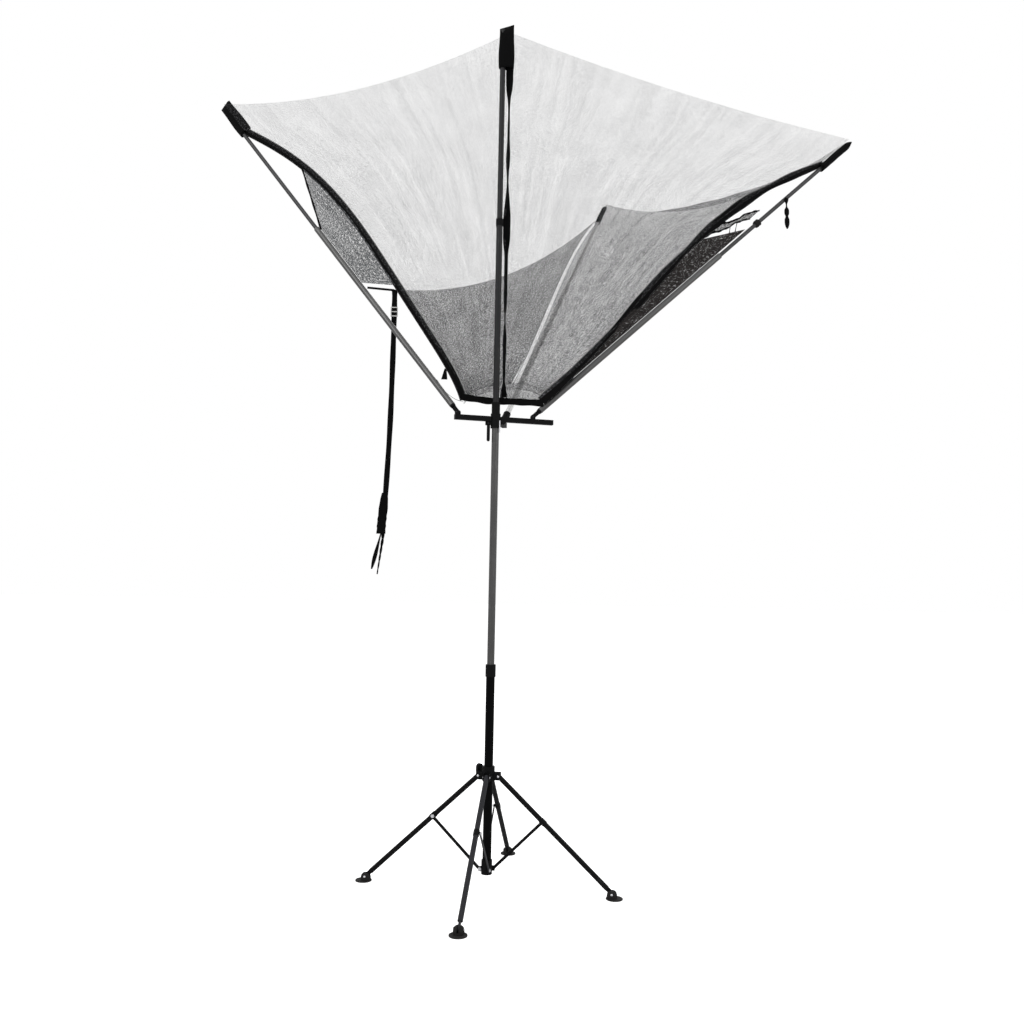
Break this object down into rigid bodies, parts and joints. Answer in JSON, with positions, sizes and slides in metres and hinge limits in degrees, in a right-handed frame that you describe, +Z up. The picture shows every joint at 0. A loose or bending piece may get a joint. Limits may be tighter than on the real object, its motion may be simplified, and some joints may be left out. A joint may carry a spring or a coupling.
{
  "type": "basketball return net on a folding stand",
  "caption": "Basketball shooting machine: a telescopic mast on a folding stand carries a funnel of net on folding ribs, which catches and returns shot balls.",
  "frame": {"origin": "centre of the bounding box on the floor, under the net; the mast stands at x = -0.140 m, y = -0.477 m", "axes": "+Z up, +Y from the mast out over the net's funnel (towards the hoop), +X to the right of someone who faces +Y"},
  "size_m": [3.1178, 2.134, 3.803],
  "materials": {
    "black_steel": "black powder coat",
    "grey_tube": "grey coated tube",
    "aluminium": "bright drawn tube",
    "black_plastic": "moulded, matte",
    "rubber": "matte",
    "webbing": "woven black webbing",
    "net": "fine black knotless mesh",
    "bright_steel": "plated"
  },
  "bodies": {
    "stand": {"base_tube": "black_steel", "base_bottom_hub": "black_plastic"},
    "mast_lock": {"mast_lock_collar": "black_plastic"},
    "leg_carrier": {"leg_collar": "black_plastic"},
    "leg_knob": {"leg_collar_knob": "black_plastic"},
    "right_leg": {"leg_right": "black_steel", "leg_bracket_right": "black_plastic"},
    "back_leg": {"leg_back": "black_steel", "leg_bracket_back": "black_plastic"},
    "left_leg": {"leg_left": "black_steel", "leg_bracket_left": "black_plastic"},
    "front_leg": {"leg_front": "black_steel", "leg_bracket_front": "black_plastic"},
    "right_brace": {"brace_right": "black_steel"},
    "back_brace": {"brace_back": "black_steel"},
    "left_brace": {"brace_left": "black_steel"},
    "front_brace": {"brace_front": "black_steel"},
    "right_foot": {"foot_right": "rubber"},
    "back_foot": {"foot_back": "rubber"},
    "left_foot": {"foot_left": "rubber"},
    "front_foot": {"foot_front": "rubber"},
    "mast": {"mast_lower_tube": "grey_tube", "mast_middle_tube": "grey_tube", "mast_ferrule": "black_plastic", "hub_block": "black_plastic", "hub_pin": "bright_steel", "hub_arm_left": "black_plastic", "hub_arm_right": "black_plastic", "hub_arm_back": "black_plastic", "rib_back_lower": "aluminium", "rib_back_upper": "aluminium", "pocket_back": "webbing", "net_front_left": "net", "net_front_right": "net", "net_back_right": "net", "net_back_left": "net", "wing_left": "net", "wing_right": "net", "seam_band_front": "webbing", "seam_band_left": "webbing", "seam_band_right": "webbing", "seam_band_back": "webbing", "rim_band": "webbing", "tie_strap": "webbing", "long_strap": "webbing", "long_strap_buckle": "webbing"},
    "mast_top": {"mast_top_tube": "grey_tube", "pocket_front": "webbing"},
    "hub_handle": {"hub_lever": "black_plastic"},
    "left_rib": {"rib_left_knuckle": "black_plastic", "rib_left_lower": "grey_tube", "rib_left_upper": "grey_tube", "pocket_left": "webbing"},
    "right_rib": {"rib_right_knuckle": "black_plastic", "rib_right_lower": "grey_tube", "rib_right_upper": "grey_tube", "pocket_right": "webbing", "short_strap": "webbing"}
  },
  "joints": [
    {"name": "leg_collar_slide", "type": "slide", "parent": "stand", "child": "leg_carrier", "axis": [0, 0, 1], "range_m": [0, 0.17237]},
    {"name": "leg_knob_screw", "type": "hinge", "parent": "leg_carrier", "child": "leg_knob", "pos_m": [-0.14033, -0.47676, 0.503], "axis": [-0.6428, 0.766, 0], "range_deg": [-270, 0]},
    {"name": "leg_right_fold", "type": "hinge", "parent": "leg_carrier", "child": "right_leg", "pos_m": [-0.09696, -0.48417, 0.485], "axis": [0.1685, 0.9857, 0], "range_deg": [0, 43.98]},
    {"name": "leg_back_fold", "type": "hinge", "parent": "leg_carrier", "child": "back_leg", "pos_m": [-0.13291, -0.43339, 0.485], "axis": [-0.9857, 0.1685, 0], "range_deg": [0, 43.98]},
    {"name": "leg_left_fold", "type": "hinge", "parent": "leg_carrier", "child": "left_leg", "pos_m": [-0.1837, -0.46934, 0.485], "axis": [-0.1685, -0.9857, 0], "range_deg": [0, 43.98]},
    {"name": "leg_front_fold", "type": "hinge", "parent": "leg_carrier", "child": "front_leg", "pos_m": [-0.14774, -0.52013, 0.485], "axis": [0.9857, -0.1685, 0], "range_deg": [0, 43.98]},
    {"name": "brace_right_fold", "type": "hinge", "parent": "stand", "child": "right_brace", "pos_m": [-0.11273, -0.48147, 0.09], "axis": [-0.1685, -0.9857, 0], "range_deg": [0, 39.48]},
    {"name": "brace_back_fold", "type": "hinge", "parent": "stand", "child": "back_brace", "pos_m": [-0.13561, -0.44916, 0.09], "axis": [0.9857, -0.1685, 0], "range_deg": [0, 39.48]},
    {"name": "brace_left_fold", "type": "hinge", "parent": "stand", "child": "left_brace", "pos_m": [-0.16793, -0.47204, 0.09], "axis": [0.1685, 0.9857, 0], "range_deg": [0, 39.48]},
    {"name": "brace_front_fold", "type": "hinge", "parent": "stand", "child": "front_brace", "pos_m": [-0.14505, -0.50436, 0.09], "axis": [-0.9857, 0.1685, 0], "range_deg": [0, 39.48]},
    {"name": "foot_right_swivel", "type": "hinge", "parent": "right_leg", "child": "right_foot", "pos_m": [0.39195, -0.56774, 0.022], "axis": [0.1685, 0.9857, 0], "range_deg": [-25, 25]},
    {"name": "foot_back_swivel", "type": "hinge", "parent": "back_leg", "child": "back_foot", "pos_m": [-0.04934, 0.05552, 0.022], "axis": [-0.9857, 0.1685, 0], "range_deg": [-25, 25]},
    {"name": "foot_left_swivel", "type": "hinge", "parent": "left_leg", "child": "left_foot", "pos_m": [-0.67261, -0.38577, 0.022], "axis": [-0.1685, -0.9857, 0], "range_deg": [-25, 25]},
    {"name": "foot_front_swivel", "type": "hinge", "parent": "front_leg", "child": "front_foot", "pos_m": [-0.23131, -1.00904, 0.022], "axis": [0.9857, -0.1685, 0], "range_deg": [-25, 25]},
    {"name": "mast_lock_twist", "type": "hinge", "parent": "stand", "child": "mast_lock", "pos_m": [-0.14033, -0.47676, 0.935], "axis": [0, 0, 1], "range_deg": [0, 90]},
    {"name": "mast_slide", "type": "slide", "parent": "stand", "child": "mast", "axis": [0, 0, 1], "range_m": [-0.7, 0]},
    {"name": "mast_top_slide", "type": "slide", "parent": "mast", "child": "mast_top", "axis": [0, 0, 1], "range_m": [-0.65, 0], "deforming": ["net_front_left", "net_front_right", "seam_band_front"]},
    {"name": "rib_left_fold", "type": "hinge", "parent": "mast", "child": "left_rib", "pos_m": [-0.30528, -0.52687, 2.059], "axis": [0.4195, 0.9078, 0], "range_deg": [0, 40.5], "deforming": ["net_back_left", "wing_left", "seam_band_left", "tie_strap"]},
    {"name": "rib_right_fold", "type": "hinge", "parent": "mast", "child": "right_rib", "pos_m": [0.02463, -0.42664, 2.059], "axis": [0.2096, -0.9778, 0], "range_deg": [0, 47.7], "deforming": ["net_back_right", "wing_right", "seam_band_right", "rim_band"]},
    {"name": "hub_lever_clamp", "type": "hinge", "parent": "mast", "child": "hub_handle", "pos_m": [-0.17133, -0.47676, 2.019], "axis": [0, 1, 0], "range_deg": [0, 80]}
  ],
  "couplings": [
    {"joint": "leg_right_fold", "follows": "leg_collar_slide", "rad_per_m": 4.4521},
    {"joint": "leg_back_fold", "follows": "leg_collar_slide", "rad_per_m": 4.4521},
    {"joint": "leg_left_fold", "follows": "leg_collar_slide", "rad_per_m": 4.4521},
    {"joint": "leg_front_fold", "follows": "leg_collar_slide", "rad_per_m": 4.4521},
    {"joint": "brace_right_fold", "follows": "leg_collar_slide", "rad_per_m": 3.9967},
    {"joint": "brace_back_fold", "follows": "leg_collar_slide", "rad_per_m": 3.9967},
    {"joint": "brace_left_fold", "follows": "leg_collar_slide", "rad_per_m": 3.9967},
    {"joint": "brace_front_fold", "follows": "leg_collar_slide", "rad_per_m": 3.9967}
  ]
}
